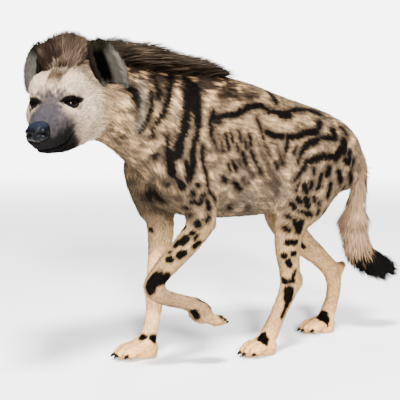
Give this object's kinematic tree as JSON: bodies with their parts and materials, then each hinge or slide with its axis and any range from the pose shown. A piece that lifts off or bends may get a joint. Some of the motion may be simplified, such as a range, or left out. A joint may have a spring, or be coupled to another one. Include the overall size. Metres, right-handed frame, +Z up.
{
  "type": "spotted hyena",
  "caption": "Still, life-size spotted hyena in mid walk, one forefoot lifted, head turned to its left, with mane, crest and bushy tail.",
  "frame": {"origin": "middle of the bounding box, on the floor under the feet", "axes": "+Z up; the hyena faces -Y and its left side is at +X"},
  "size_m": [0.387, 1.3134, 0.9092],
  "materials": {
    "cream_coat": "short dense fur, cream with dark brown spots and stripes",
    "mane_coat": "long grey-brown hair",
    "face_coat": "very short pale fur, dark on the muzzle",
    "ear_skin": "thin skin with short hair",
    "tail_coat": "long hair, black at the tip",
    "nose_leather": "moist, semi-gloss",
    "eye_glass": "glossy"
  },
  "bodies": {
    "root": {"torso": "cream_coat", "neck": "mane_coat", "head": "face_coat", "nose": "nose_leather", "tail": "tail_coat", "ear_left": "ear_skin", "eye_left": "eye_glass", "thigh_left": "cream_coat", "shank_left": "cream_coat", "hind_pastern_left": "cream_coat", "hindpaw_left": "cream_coat", "foreleg_left": "cream_coat", "fore_pastern_left": "cream_coat", "forepaw_left": "cream_coat", "ear_right": "ear_skin", "eye_right": "eye_glass", "thigh_right": "cream_coat", "shank_right": "cream_coat", "hind_pastern_right": "cream_coat", "hindpaw_right": "cream_coat", "foreleg_right": "cream_coat", "fore_pastern_right": "cream_coat", "forepaw_right": "cream_coat"}
  },
  "joints": []
}
